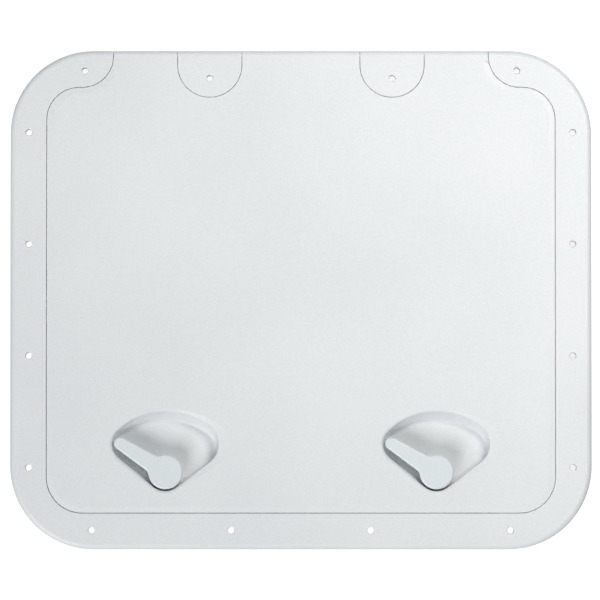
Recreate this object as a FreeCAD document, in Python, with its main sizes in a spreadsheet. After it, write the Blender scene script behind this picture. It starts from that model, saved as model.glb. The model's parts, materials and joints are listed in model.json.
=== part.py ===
# Access hatch: a moulded flange frame, a hinged flush lid and two turn latches in dished recesses.
# Millimetres. +X is to the right, +Y to the hinge side and +Z up out of the deck.
# The origin is the middle of the flange outline, on the deck plane under the flange.
import FreeCAD, Part
import math
import operator
import os

import Sketcher

Vector = FreeCAD.Vector

SIZES = [
    # Frame moulding
    ("frame_width", 515, "flange outline, side to side"),
    ("frame_depth", 442, "flange outline, front to hinge side"),
    ("frame_height", 12.5, "deck to the top of the flange"),
    ("frame_corner_radius", 74, "flange outline"),
    ("frame_edge_radius", 5, "rolled top edge of the flange"),
    ("frame_wall", 3, "rim, top and inner wall of the hollow flange"),
    ("flange_width", 32, "sides and front"),
    ("opening_front_radius", 32, "front corners of the opening"),
    ("opening_rear_radius", 29, "hinge-side corners of the opening"),
    ("lobe_radius", 27.8, "round end of the flange beside the hinge"),
    ("lobe_land", 2.5, "straight between the hinge-side corner and the lobe"),
    ("ledge_thickness", 3, "drain ledge around the upstand"),
    ("ledge_width", 8.5, "flange inner wall to spigot"),
    ("spigot_setback", 49, "hinge-side edge of the flange to the spigot"),
    ("spigot_wall", 3, "spigot and upstand"),
    ("spigot_drop", 26, "below the deck plane"),
    ("upstand_height", 6, "above the deck plane"),
    ("stiffener", 2, "thickness of the flange ribs"),
    ("stiffener_lift", 1, "flange ribs above the deck plane, for the sealant"),
    # Fixing holes
    ("hole_radius", 2.75, "for 5 mm deck screws"),
    ("hole_boss_radius", 5.5, "round each hole"),
    ("hole_chamfer", 0.5, "top edge of each hole"),
    ("side_hole_inset", 16.5, "from the side edge"),
    ("side_hole_margin", 72.5, "front and hinge-side edge to the end holes"),
    ("front_hole_inset", 17, "from the front edge"),
    ("front_hole_margin", 72.1, "side edges to the end holes"),
    ("lobe_hole_inset", 17.8, "from the hinge-side edge"),
    ("lobe_hole_offset", 2.6, "lobe centre to hole"),
    # Strike ledges under the latch cams
    ("strike_width", 66, "along the front wall"),
    ("strike_reach", 8, "out from the front wall"),
    ("strike_thickness", 3, "ledge"),
    ("strike_level", 12, "deck plane down to the working face"),
    ("strike_ramp", 1.5, "lead-in on the working face"),
    ("gusset_height", 7, "above the ledge"),
    ("gusset_thickness", 2, "each"),
    # Seal on the upstand
    ("seal_width", 7, "across the channel"),
    ("seal_grip", 2.8, "how far the channel reaches down the upstand"),
    ("seal_web", 1, "channel floor over the upstand"),
    ("seal_bulb_width", 4.6, "bulb under the lid"),
    ("seal_gap", 0.3, "bulb to lid"),
    # Lid moulding
    ("lid_gap", 0.4, "lid to frame and to hinge blocks"),
    ("lid_thickness", 3, "panel"),
    ("lid_wall", 2.8, "skirt"),
    ("skirt_depth", 5, "skirt and ribs below the panel"),
    ("bevel_width", 5.2, "edge of the lid"),
    ("bevel_drop", 0.7, "edge of the lid"),
    ("rib", 2, "thickness of the lid ribs"),
    ("rib_margin", 5, "spigot inner wall to the ends of the ribs"),
    # Hinge
    ("barrel_radius", 4.5, "rolled rear edge of the lid"),
    ("hinge_spacing", 161.6, "between the two hinge blocks"),
    ("block_radius", 28.3, "half-round hinge block"),
    ("block_setback", 12.8, "hinge-side edge to the block's centre"),
    ("block_hole_inset", 24.5, "hinge-side edge to the deck screw"),
    ("pin_radius", 2, "hinge pin"),
    ("pin_clearance", 0.05, "pin in its bores"),
    ("pin_chamfer", 0.4, "pin ends"),
    ("pin_setback", 0.5, "outer end of the pin inside the barrel end"),
    ("pin_engagement", 10.5, "pin in the middle barrel"),
    ("bore_spare", 2, "bore past the inner end of the pin"),
    ("block_screw_spacing", 30, "two screws up into each block"),
    ("block_screw_inset", 17, "hinge-side edge to the screws"),
    ("block_screw_radius", 2, "shank"),
    ("block_screw_head", 3.75, "head radius"),
    ("block_screw_length", 9.5, "overall"),
    ("block_screw_spare", 1.2, "hole past the screw's tip"),
    ("screw_clearance", 0.1, "screws in their holes"),
    # Recess in the lid for each latch, seen from above, from the middle of the hub
    ("latch_inset", 137.5, "side edges of the frame to the hubs"),
    ("latch_setback", 68.5, "front edge of the frame to the hubs"),
    ("end_height", 24.8, "centres of the end rounds above the hub"),
    ("well_apex_radius", 17, "round the hub"),
    ("well_right_radius", 20.5, "right end"),
    ("well_left_radius", 16.5, "left end"),
    ("well_top", 53.6, "far edge"),
    ("well_top_drop", 10.7, "centre of the far edge below the hub"),
    ("well_top_offset", 1.1, "centre of the far edge to the right of the hub"),
    ("well_straight", 6, "lid top down to the end of the upright wall"),
    ("well_depth", 16.5, "lid top down to the floor"),
    ("floor_end_height", 22, "centres of the end rounds above the hub"),
    ("floor_apex_radius", 12.5, "round the hub"),
    ("floor_end_radius", 16, "both ends"),
    ("floor_top", 46, "far edge"),
    ("floor_top_drop", 22, "centre of the far edge below the hub"),
    ("floor_top_offset", 1, "centre of the far edge to the right of the hub"),
    ("well_floor_radius", 3, "floor to wall"),
    ("well_shell", 2.5, "wall under the lid"),
    ("dish_apex_radius", 18.6, "round the hub"),
    ("dish_right_radius", 20.5, "right end"),
    ("dish_left_radius", 19, "left end"),
    ("dish_top", 55.6, "far edge"),
    ("dish_top_drop", 20, "centre of the far edge below the hub"),
    ("dish_top_offset", 4.6, "centre of the far edge to the right of the hub"),
    ("dish_depth", 1.2, "at the edge of the well"),
    ("seat_radius", 13.5, "tube that carries the spindle"),
    ("seat_gap", 0.3, "tube to hub"),
    ("seat_bottom", 9.5, "below the deck plane"),
    # Latch handle with its spindle
    ("handle_drop", 0.2, "below the lid's top"),
    ("hub_radius", 15.2, "handle hub"),
    ("hub_thickness", 6, "handle hub"),
    ("arm_length", 47.3, "hub centre to tip centre"),
    ("arm_tip_radius", 5.6, "tip"),
    ("arm_taper", 4, "degrees, each flank"),
    ("arm_thickness", 4.8, "handle arm"),
    ("arm_root_radius", 7, "arm to hub"),
    ("handle_edge", 1, "chamfer round the top"),
    ("handle_angle", 147.5, "degrees from +X at rest"),
    ("spindle_radius", 7, "in the tube"),
    ("spindle_clearance", 0.08, "spindle in the tube"),
    ("spindle_shoulder", 0.3, "spindle past the tube"),
    ("square_width", 10, "drive end"),
    ("square_clearance", 0.05, "cam on the square"),
    ("o_ring_wire", 1, "section radius"),
    ("o_ring_level", 2, "below the deck plane"),
    ("groove_width", 2.4, "O-ring groove"),
    # Cam and its fastening
    ("thrust_washer_gap", 0.1, "tube to washer"),
    ("thrust_washer_radius", 11, "outer"),
    ("thrust_washer_bore", 7.2, "inner radius"),
    ("thrust_washer_thickness", 1, "washer"),
    ("cam_hub_radius", 10.5, "cam"),
    ("cam_gap", 0.4, "strike to cam"),
    ("cam_thickness", 4.6, "cam arm"),
    ("cam_length", 17.5, "hub centre to tip centre"),
    ("cam_tip_radius", 6, "cam"),
    ("cam_angle", 25, "degrees from +X at rest"),
    ("cam_washer_radius", 8, "outer"),
    ("cam_washer_thickness", 1, "washer"),
    ("cam_screw_radius", 2, "shank"),
    ("cam_screw_head", 4.6, "head radius"),
    ("cam_screw_head_height", 2.6, "head"),
    ("cam_screw_grip", 9, "shank in the spindle"),
]

OPERATIONS = {"+": operator.add, "-": operator.sub, "*": operator.mul, "/": operator.truediv}


# A size, as its value and as the sheet formula that gives it
class Dim:
    def __init__(self, value, formula):
        self.value = float(value)
        self.formula = formula

    def __add__(self, other):
        return combine(self, "+", other)

    def __radd__(self, other):
        return combine(other, "+", self)

    def __sub__(self, other):
        return combine(self, "-", other)

    def __rsub__(self, other):
        return combine(other, "-", self)

    def __mul__(self, other):
        return combine(self, "*", other)

    def __rmul__(self, other):
        return combine(other, "*", self)

    def __truediv__(self, other):
        return combine(self, "/", other)

    def __neg__(self):
        return combine(0, "-", self)


def as_dim(number):
    return number if isinstance(number, Dim) else Dim(number, repr(number))


def combine(left, sign, right):
    left, right = as_dim(left), as_dim(right)
    value = OPERATIONS[sign](left.value, right.value)
    return Dim(value, "(%s %s %s)" % (left.formula, sign, right.formula))


def sine(angle):
    return Dim(math.sin(math.radians(angle.value)), "sin(%s)" % angle.formula)


def cosine(angle):
    return Dim(math.cos(math.radians(angle.value)), "cos(%s)" % angle.formula)


# The sheet of driving sizes, and a name in this file for each of its cells
class Sizes:
    def __init__(self, doc, rows):
        sheet = doc.addObject("Spreadsheet::Sheet", "Sizes")
        for number, (alias, value, note) in enumerate(rows, start=1):
            sheet.set("A%d" % number, alias)
            sheet.set("B%d" % number, str(value))
            sheet.set("C%d" % number, note)
            sheet.setAlias("B%d" % number, alias)
            setattr(self, alias, Dim(value, "Sizes.%s" % alias))


def bind(thing, path, dim):
    thing.setExpression(path, as_dim(dim).formula)


# Sub-parts and their sketches


def new_body(doc, label, x=0, y=0, turn=0):
    body = doc.addObject("PartDesign::Body", label)
    body.Label = label
    body.Placement = FreeCAD.Placement(Vector(0, 0, 0), FreeCAD.Rotation(Vector(0, 0, 1), 1))
    bind(body, ".Placement.Base.x", x)
    bind(body, ".Placement.Base.y", y)
    bind(body, ".Placement.Rotation.Angle", turn)
    return body


# A sketch on one of the body's own planes, moved along it by x and y, off it by lift, and turned in it
def new_sketch(body, name, plane, lift=0, x=0, y=0, turn=0):
    sketch = body.newObject("Sketcher::SketchObject", name)
    origin_plane = next(item for item in body.Origin.OriginFeatures if item.Role == plane + "_Plane")
    sketch.AttachmentSupport = (origin_plane, [""])
    sketch.MapMode = "FlatFace"
    sketch.AttachmentOffset = FreeCAD.Placement(Vector(0, 0, 0), FreeCAD.Rotation(Vector(0, 0, 1), 1))
    for axis, dim in (("x", x), ("y", y), ("z", lift)):
        bind(sketch, "AttachmentOffset.Base." + axis, dim)
    bind(sketch, "AttachmentOffset.Rotation.Angle", turn)
    return sketch


def constrain(sketch, kind, *arguments):
    *geometry, dim = arguments
    number = sketch.addConstraint(Sketcher.Constraint(kind, *geometry, as_dim(dim).value))
    sketch.setExpression("Constraints[%d]" % number, as_dim(dim).formula)


def fix_point(sketch, edge, end, x, y):
    constrain(sketch, "DistanceX", -1, 1, edge, end, x)
    constrain(sketch, "DistanceY", -1, 1, edge, end, y)


def arc_about(centre, start, stop):
    first = math.atan2(start.y - centre.y, start.x - centre.x)
    last = math.atan2(stop.y - centre.y, stop.x - centre.x)
    if last <= first:
        last += 2 * math.pi
    circle = Part.Circle(centre, Vector(0, 0, 1), start.distanceToPoint(centre))
    return Part.ArcOfCircle(circle, first, last)


# The arc from start to stop, up to a half turn, with its centre on the left of the way or on the right
def arc_between(start, stop, radius, bends_left):
    chord = stop - start
    rise = math.sqrt(max(radius**2 - chord.Length**2 / 4, 0))
    left = Vector(-chord.y, chord.x, 0).normalize()
    centre = (start + stop) / 2 + left * (rise if bends_left else -rise)
    return arc_about(centre, start, stop) if bends_left else arc_about(centre, stop, start)


# A closed outline through corners (x, y). Where an arc leads to a corner, its radius comes third,
# and a minus radius bends the arc to the right of the way.
def draw_loop(sketch, corners):
    points = [Vector(as_dim(corner[0]).value, as_dim(corner[1]).value, 0) for corner in corners]
    joints = []
    for i, corner in enumerate(corners):
        if len(corner) == 2:
            edge = sketch.addGeometry(Part.LineSegment(points[i - 1], points[i]))
            joints.append((edge, 1, 2))
            continue
        bends_left = corner[2].value > 0
        radius = corner[2] if bends_left else -corner[2]
        edge = sketch.addGeometry(arc_between(points[i - 1], points[i], radius.value, bends_left))
        joints.append((edge, 1, 2) if bends_left else (edge, 2, 1))
        constrain(sketch, "Radius", edge, radius)
    for i, (edge, _, end) in enumerate(joints):
        following, start, _ = joints[(i + 1) % len(joints)]
        sketch.addConstraint(Sketcher.Constraint("Coincident", edge, end, following, start))
        fix_point(sketch, edge, end, corners[i][0], corners[i][1])


def draw_circle(sketch, x, y, radius):
    centre = Vector(as_dim(x).value, as_dim(y).value, 0)
    edge = sketch.addGeometry(Part.Circle(centre, Vector(0, 0, 1), as_dim(radius).value))
    constrain(sketch, "Radius", edge, radius)
    fix_point(sketch, edge, 3, x, y)


def rectangle(x0, x1, y0, y1):
    return [(x0, y0), (x1, y0), (x1, y1), (x0, y1)]


def rounded_rectangle(x0, x1, y0, y1, radius):
    return [
        (x0 + radius, y0), (x1 - radius, y0), (x1, y0 + radius, radius),
        (x1, y1 - radius), (x1 - radius, y1, radius),
        (x0 + radius, y1), (x0, y1 - radius, radius),
        (x0, y0 + radius), (x0 + radius, y0, radius),
    ][1:]


# Features. A pad goes up from its sketch and a pocket goes down, unless it is turned over.


def pad(body, name, sketch, length):
    feature = body.newObject("PartDesign::Pad", name)
    feature.Profile = sketch
    bind(feature, "Length", length)
    return feature


def pocket(body, name, sketch, length, upward=False):
    feature = body.newObject("PartDesign::Pocket", name)
    feature.Profile = sketch
    feature.Reversed = upward
    bind(feature, "Length", length)
    return feature


def loft(body, name, kind, lower, upper):
    feature = body.newObject("PartDesign::%sLoft" % kind, name)
    feature.Profile = lower
    feature.Sections = [upper]
    feature.Ruled = True
    return feature


def revolve(body, name, kind, sketch):
    feature = body.newObject("PartDesign::" + kind, name)
    feature.Profile = sketch
    feature.ReferenceAxis = (sketch, ["V_Axis"])
    feature.Angle = 360
    return feature


# The names of the edges of the body's last shape that pass a test on their end points
def edges_where(doc, feature, test):
    doc.recompute()
    return [
        "Edge%d" % number
        for number, edge in enumerate(feature.Shape.Edges, start=1)
        if test(edge, [vertex.Point for vertex in edge.Vertexes])
    ]


def fillet(body, name, base, edges, radius):
    feature = body.newObject("PartDesign::Fillet", name)
    feature.Base = (base, edges)
    bind(feature, "Radius", radius)
    return feature


def chamfer(body, name, base, edges, width, drop=None):
    feature = body.newObject("PartDesign::Chamfer", name)
    feature.Base = (base, edges)
    bind(feature, "Size", width)
    if drop is not None:
        feature.ChamferType = "Two distances"
        bind(feature, "Size2", drop)
    return feature


def near(a, b, margin=0.001):
    return abs(a - as_dim(b).value) < margin


def at_level(points, level):
    return all(near(point.z, level) for point in points)


# Places that more than one piece needs


class Layout:
    def __init__(self, size):
        self.half_width = size.frame_width / 2
        self.half_depth = size.frame_depth / 2
        self.hinge_y = self.half_depth - size.barrel_radius
        self.hinge_z = size.frame_height - size.barrel_radius
        self.opening_half_width = self.half_width - size.flange_width
        self.opening_front = size.flange_width - self.half_depth
        self.rear_corner_x = self.opening_half_width - size.opening_rear_radius
        self.lobe_x = self.rear_corner_x - size.lobe_land
        self.lobe_front = self.hinge_y - size.lobe_radius
        self.spigot_half_width = self.opening_half_width - size.ledge_width
        self.spigot_front = self.opening_front + size.ledge_width
        self.spigot_rear = self.half_depth - size.spigot_setback
        self.spigot_radius = size.opening_front_radius - size.ledge_width
        self.latch_x = self.half_width - size.latch_inset
        self.latch_y = size.latch_setback - self.half_depth
        self.block_x = size.hinge_spacing / 2
        self.block_y = self.half_depth - size.block_setback
        self.lid_underside = size.frame_height - size.lid_thickness
        self.barrel_end = self.lobe_x - size.lobe_radius - size.lid_gap
        self.handle_top = size.frame_height - size.handle_drop
        self.hub_bottom = self.handle_top - size.hub_thickness
        self.tube_top = self.hub_bottom - size.seat_gap
        self.washer_top = 0 - size.seat_bottom - size.thrust_washer_gap
        self.cam_hub_top = self.washer_top - size.thrust_washer_thickness
        self.cam_top = 0 - size.strike_level - size.cam_gap
        self.cam_bottom = self.cam_top - size.cam_thickness

    # The outline that parts lid and frame, moved outward by grow, and ended at rear
    def parting_outline(self, size, grow, rear):
        half = self.opening_half_width + grow
        front = self.opening_front - grow
        front_radius = size.opening_front_radius + grow
        rear_radius = size.opening_rear_radius + grow
        lobe_radius = size.lobe_radius - grow
        lobe_front = self.lobe_front + grow
        end = self.lobe_x - lobe_radius
        return [
            (half - front_radius, front),
            (half, front + front_radius, front_radius),
            (half, lobe_front - rear_radius),
            (self.rear_corner_x, lobe_front, rear_radius),
            (self.lobe_x, lobe_front),
            (end, self.hinge_y, -lobe_radius),
            (end, rear),
            (-end, rear),
            (-end, self.hinge_y),
            (-self.lobe_x, lobe_front, -lobe_radius),
            (-self.rear_corner_x, lobe_front),
            (-half, lobe_front - rear_radius, rear_radius),
            (-half, front + front_radius),
            (front_radius - half, front, front_radius),
        ]

    # The lid's own outline, which ends on the hinge axis
    def lid_outline(self, size, inset):
        corners = self.parting_outline(size, 0 - size.lid_gap - inset, self.hinge_y)
        return corners[:6] + corners[8:]

    # A hinge block's outline about its own middle: half round, with straight sides up to rear
    def block_outline(self, size, grow, rear):
        radius = size.block_radius + grow
        return [
            (-radius, rear), (-radius, self.block_y), (0, self.block_y - radius, radius),
            (radius, self.block_y, radius), (radius, rear),
        ]

    def frame_outline(self, size, inset):
        x, y = self.half_width - inset, self.half_depth - inset
        return rounded_rectangle(-x, x, -y, y, size.frame_corner_radius - inset)

    def spigot_outline(self, inset):
        x = self.spigot_half_width - inset
        front, rear = self.spigot_front + inset, self.spigot_rear - inset
        return rounded_rectangle(-x, x, front, rear, self.spigot_radius - inset)

    def flange_holes(self, size):
        side_x = self.half_width - size.side_hole_inset
        side_y = self.half_depth - size.side_hole_margin
        front_x = self.half_width - size.front_hole_margin
        front_y = size.front_hole_inset - self.half_depth
        lobe_x = self.lobe_x - size.lobe_hole_offset
        lobe_y = self.half_depth - size.lobe_hole_inset
        holes = [(front_x * step, front_y) for step in (-1, -1 / 3, 1 / 3, 1)]
        for side in (-1, 1):
            holes += [(side_x * side, side_y * step) for step in (-1, -1 / 3, 1 / 3, 1)]
            holes.append((lobe_x * side, lobe_y))
        return holes


# Frame: hollow flange, ledge, upstand and spigot in one moulding


def make_frame(doc, size, layout):
    body = new_body(doc, "frame")

    sketch = new_sketch(body, "FlangeOutline", "XY")
    draw_loop(sketch, layout.frame_outline(size, 0))
    flange = pad(body, "Flange", sketch, size.frame_height)
    edges = edges_where(doc, flange, lambda edge, points: at_level(points, size.frame_height))
    fillet(body, "RolledEdge", flange, edges, size.frame_edge_radius)

    cavity_height = size.frame_height - size.frame_wall
    sketch = new_sketch(body, "CavityOutline", "XY")
    draw_loop(sketch, layout.frame_outline(size, size.frame_wall))
    pocket(body, "Cavity", sketch, cavity_height, upward=True)
    sketch = new_sketch(body, "InnerWallOutline", "XY")
    cavity_rear = layout.half_depth - size.frame_wall
    draw_loop(sketch, layout.parting_outline(size, size.frame_wall, cavity_rear))
    pad(body, "InnerWall", sketch, cavity_height)

    sketch = new_sketch(body, "BossCircles", "XY")
    for x, y in layout.flange_holes(size):
        draw_circle(sketch, x, y, size.hole_boss_radius)
    pad(body, "Bosses", sketch, cavity_height)
    add_flange_ribs(body, size, layout, cavity_height)

    sketch = new_sketch(body, "OpeningOutline", "XY", lift=size.frame_height)
    past_rear = layout.half_depth + size.frame_wall
    draw_loop(sketch, layout.parting_outline(size, 0, past_rear))
    pocket(body, "Opening", sketch, size.frame_height - size.ledge_thickness)

    sketch = new_sketch(body, "WellOutline", "XY", lift=size.ledge_thickness)
    draw_loop(sketch, layout.spigot_outline(size.spigot_wall))
    pocket(body, "Well", sketch, size.ledge_thickness)
    sketch = new_sketch(body, "SpigotOutline", "XY", lift=0 - size.spigot_drop)
    draw_loop(sketch, layout.spigot_outline(0))
    draw_loop(sketch, layout.spigot_outline(size.spigot_wall))
    pad(body, "Spigot", sketch, size.spigot_drop + size.upstand_height)

    add_strikes(doc, body, size, layout)
    cut_frame_holes(doc, body, size, layout)
    return body


def add_flange_ribs(body, size, layout, cavity_height):
    half = size.stiffener / 2
    rim_x = layout.half_width - size.frame_wall / 2
    rim_y = layout.half_depth - size.frame_wall / 2
    side_pitch = (layout.half_depth - size.side_hole_margin) * 2 / 3
    front_pitch = (layout.half_width - size.front_hole_margin) * 2 / 3
    for number, step in enumerate((-1, 0, 1), start=1):
        side_y, front_x = side_pitch * step, front_pitch * step
        bars = {
            "SideRib": rectangle(-rim_x, rim_x, side_y - half, side_y + half),
            "FrontRib": rectangle(front_x - half, front_x + half, -rim_y, layout.opening_front),
        }
        for name, corners in bars.items():
            sketch = new_sketch(body, "%sOutline%d" % (name, number), "XY", lift=size.stiffener_lift)
            draw_loop(sketch, corners)
            pad(body, "%s%d" % (name, number), sketch, cavity_height - size.stiffener_lift)


# A ledge on the front wall for each cam, ramped at both ends, with three gussets over it
def add_strikes(doc, body, size, layout):
    inside = layout.spigot_front + size.spigot_wall
    root_y = inside - size.spigot_wall / 2
    tip_y = inside + size.strike_reach
    half = size.strike_width / 2
    top = size.strike_thickness - size.strike_level
    for name, side in (("Left", -1), ("Right", 1)):
        middle = layout.latch_x * side
        sketch = new_sketch(body, name + "StrikeOutline", "XY", lift=0 - size.strike_level)
        draw_loop(sketch, rectangle(middle - half, middle + half, root_y, tip_y))
        strike = pad(body, name + "Strike", sketch, size.strike_thickness)

        def is_lead_in(edge, points):
            at_end = near(points[0].x, points[-1].x) and near(abs(points[0].x - middle.value), half)
            return at_end and at_level(points, 0 - size.strike_level)

        edges = edges_where(doc, strike, is_lead_in)
        chamfer(body, name + "StrikeRamps", strike, edges, size.strike_ramp)
        for number, step in enumerate((-1, 0, 1), start=1):
            gusset_x = middle + (half - size.strike_ramp - size.gusset_thickness) * step
            lift = gusset_x - size.gusset_thickness / 2
            sketch = new_sketch(body, "%sGussetOutline%d" % (name, number), "YZ", lift=lift)
            peak, peak_y = top + size.gusset_height, inside + size.gusset_thickness / 2
            foot_y = tip_y - size.gusset_thickness
            draw_loop(sketch, [(root_y, top), (foot_y, top), (peak_y, peak), (root_y, peak)])
            pad(body, "%sGusset%d" % (name, number), sketch, size.gusset_thickness)


def block_screw_places(size, layout):
    y = layout.half_depth - size.block_screw_inset
    half = size.block_screw_spacing / 2
    return [(layout.block_x * side + half * step, y) for side in (-1, 1) for step in (-1, 1)]


def cut_frame_holes(doc, body, size, layout):
    sketch = new_sketch(body, "DeckHoleCircles", "XY", lift=size.frame_height)
    for x, y in layout.flange_holes(size):
        draw_circle(sketch, x, y, size.hole_radius)
    for side in (-1, 1):
        y = layout.half_depth - size.block_hole_inset
        draw_circle(sketch, layout.block_x * side, y, size.hole_radius)
    holes = pocket(body, "DeckHoles", sketch, size.frame_height)

    def is_hole_top(edge, points):
        is_round = isinstance(edge.Curve, Part.Circle) and near(edge.Curve.Radius, size.hole_radius)
        return is_round and at_level(points, size.frame_height)

    edges = edges_where(doc, holes, is_hole_top)
    chamfer(body, "DeckHoleEdges", holes, edges, size.hole_chamfer)

    radius = size.block_screw_radius + size.screw_clearance
    sketch = new_sketch(body, "BlockScrewCircles", "XY", lift=size.ledge_thickness)
    for x, y in block_screw_places(size, layout):
        draw_circle(sketch, x, y, radius)
    holes = pocket(body, "BlockScrewHoles", sketch, size.ledge_thickness)

    def is_screw_seat(edge, points):
        is_round = isinstance(edge.Curve, Part.Circle) and near(edge.Curve.Radius, radius)
        return is_round and at_level(points, 0)

    edges = edges_where(doc, holes, is_screw_seat)
    seat = size.block_screw_head - size.block_screw_radius + size.screw_clearance
    chamfer(body, "BlockScrewSeats", holes, edges, seat)


# Seal: a channel that grips the upstand, with a bulb under the lid, swept along the upstand


def make_seal(doc, size, layout):
    body = new_body(doc, "lid_seal")
    path = new_sketch(body, "SealPath", "XY")
    inset = size.spigot_wall / 2
    corners = layout.spigot_outline(inset)
    middle_x = layout.spigot_half_width - inset
    draw_loop(path, corners[:2] + [(middle_x, 0)] + corners[2:])

    profile = new_sketch(body, "SealProfile", "XZ")
    half, slot = size.seal_width / 2, size.spigot_wall / 2
    bulb = size.seal_bulb_width / 2
    rest = size.upstand_height
    floor = rest + size.seal_web
    crown = layout.lid_underside - size.seal_gap
    draw_loop(profile, [
        (middle_x - half, rest - size.seal_grip), (middle_x - slot, rest - size.seal_grip),
        (middle_x - slot, rest), (middle_x + slot, rest),
        (middle_x + slot, rest - size.seal_grip), (middle_x + half, rest - size.seal_grip),
        (middle_x + half, floor), (middle_x + bulb, floor),
        (middle_x, crown, arch_radius(bulb, crown - floor)),
        (middle_x - bulb, floor, arch_radius(bulb, crown - floor)),
        (middle_x - half, floor),
    ])
    sweep = body.newObject("PartDesign::AdditivePipe", "Seal")
    sweep.Profile = profile
    sweep.Spine = (path, [])
    return body


# The radius of an arch over a half width, for a given rise
def arch_radius(half_width, rise):
    return (half_width * half_width + rise * rise) / (rise * 2)


# Lid: panel, skirt, ribs, hinge barrel and the two latch recesses in one moulding


def make_lid(doc, size, layout):
    body = new_body(doc, "lid")
    skirt_bottom = layout.lid_underside - size.skirt_depth

    sketch = new_sketch(body, "PanelOutline", "XY", lift=skirt_bottom)
    draw_loop(sketch, layout.lid_outline(size, 0))
    panel = pad(body, "Panel", sketch, size.frame_height - skirt_bottom)

    def is_bevelled(edge, points):
        on_hinge_line = all(near(point.y, layout.hinge_y) for point in points)
        return at_level(points, size.frame_height) and not on_hinge_line

    edges = edges_where(doc, panel, is_bevelled)
    bevel = chamfer(body, "EdgeBevel", panel, edges, size.bevel_width, size.bevel_drop)
    sketch = new_sketch(body, "UndersideOutline", "XY", lift=skirt_bottom)
    draw_loop(sketch, layout.lid_outline(size, size.lid_wall))
    pocket(body, "Underside", sketch, size.skirt_depth, upward=True)
    check_bevel(doc, bevel, size, layout)

    add_lid_ribs(body, size, layout, skirt_bottom)
    add_notch_walls(body, size, layout, skirt_bottom)
    sketch = new_sketch(body, "BarrelCircle", "YZ", lift=-layout.barrel_end)
    draw_circle(sketch, layout.hinge_y, layout.hinge_z, size.barrel_radius)
    pad(body, "Barrel", sketch, layout.barrel_end * 2)

    for name, side in (("Left", -1), ("Right", 1)):
        add_recess(doc, body, name, side, size, layout)
    cut_hinge(body, size, layout)
    return body


# The bevel has to take its width from the top face and its drop from the edge
def check_bevel(doc, bevel, size, layout):
    doc.recompute()
    top = max(bevel.Shape.Faces, key=lambda face: face.CenterOfMass.z)
    expected = layout.opening_half_width - size.lid_gap - size.bevel_width
    if not near(top.BoundBox.XMax, expected):
        bevel.FlipDirection = True
        doc.recompute()


def add_lid_ribs(body, size, layout, skirt_bottom):
    half = size.rib / 2
    x_end = layout.spigot_half_width - size.spigot_wall - size.rib_margin
    y_front = layout.spigot_front + size.spigot_wall + size.rib_margin
    y_rear = layout.spigot_rear - size.spigot_wall - size.rib_margin
    y_middle = (y_front + y_rear) / 2
    x_step, y_step = x_end * 2 / 5, (y_rear - y_front) / 4
    bars = {}
    for number, step in enumerate((-2, -1, 0, 1, 2), start=1):
        x = x_step * step
        bars["LongRib%d" % number] = rectangle(x - half, x + half, y_front, y_rear)
    for number, step in enumerate((-1, 0, 1), start=1):
        y = y_middle + y_step * step
        bars["CrossRib%d" % number] = rectangle(-x_end, x_end, y - half, y + half)
    for name, corners in bars.items():
        sketch = new_sketch(body, name + "Outline", "XY", lift=skirt_bottom)
        draw_loop(sketch, corners)
        pad(body, name, sketch, size.skirt_depth)


# Skirt walls round the two notches for the hinge blocks, ended on the hinge axis
def add_notch_walls(body, size, layout, skirt_bottom):
    grow = size.lid_gap + size.lid_wall
    for name, side in (("Left", -1), ("Right", 1)):
        x = layout.block_x * side
        sketch = new_sketch(body, name + "NotchWallOutline", "XY", lift=skirt_bottom, x=x)
        draw_loop(sketch, layout.block_outline(size, grow, layout.hinge_y))
        pad(body, name + "NotchWall", sketch, size.skirt_depth)


def cut_hinge(body, size, layout):
    past_rear = layout.half_depth + size.lid_gap
    pin_end = layout.block_x - size.block_radius - size.pin_engagement
    bore_length = layout.barrel_end - pin_end + size.bore_spare
    for name, side in (("Left", -1), ("Right", 1)):
        x = layout.block_x * side
        sketch = new_sketch(body, name + "NotchOutline", "XY", lift=size.frame_height, x=x)
        draw_loop(sketch, layout.block_outline(size, size.lid_gap, past_rear))
        pocket(body, name + "Notch", sketch, size.frame_height)
        sketch = new_sketch(body, name + "PinBoreCircle", "YZ", lift=layout.barrel_end * side)
        draw_circle(sketch, layout.hinge_y, layout.hinge_z, size.pin_radius + size.pin_clearance)
        pocket(body, name + "PinBore", sketch, bore_length, upward=side < 0)


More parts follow.
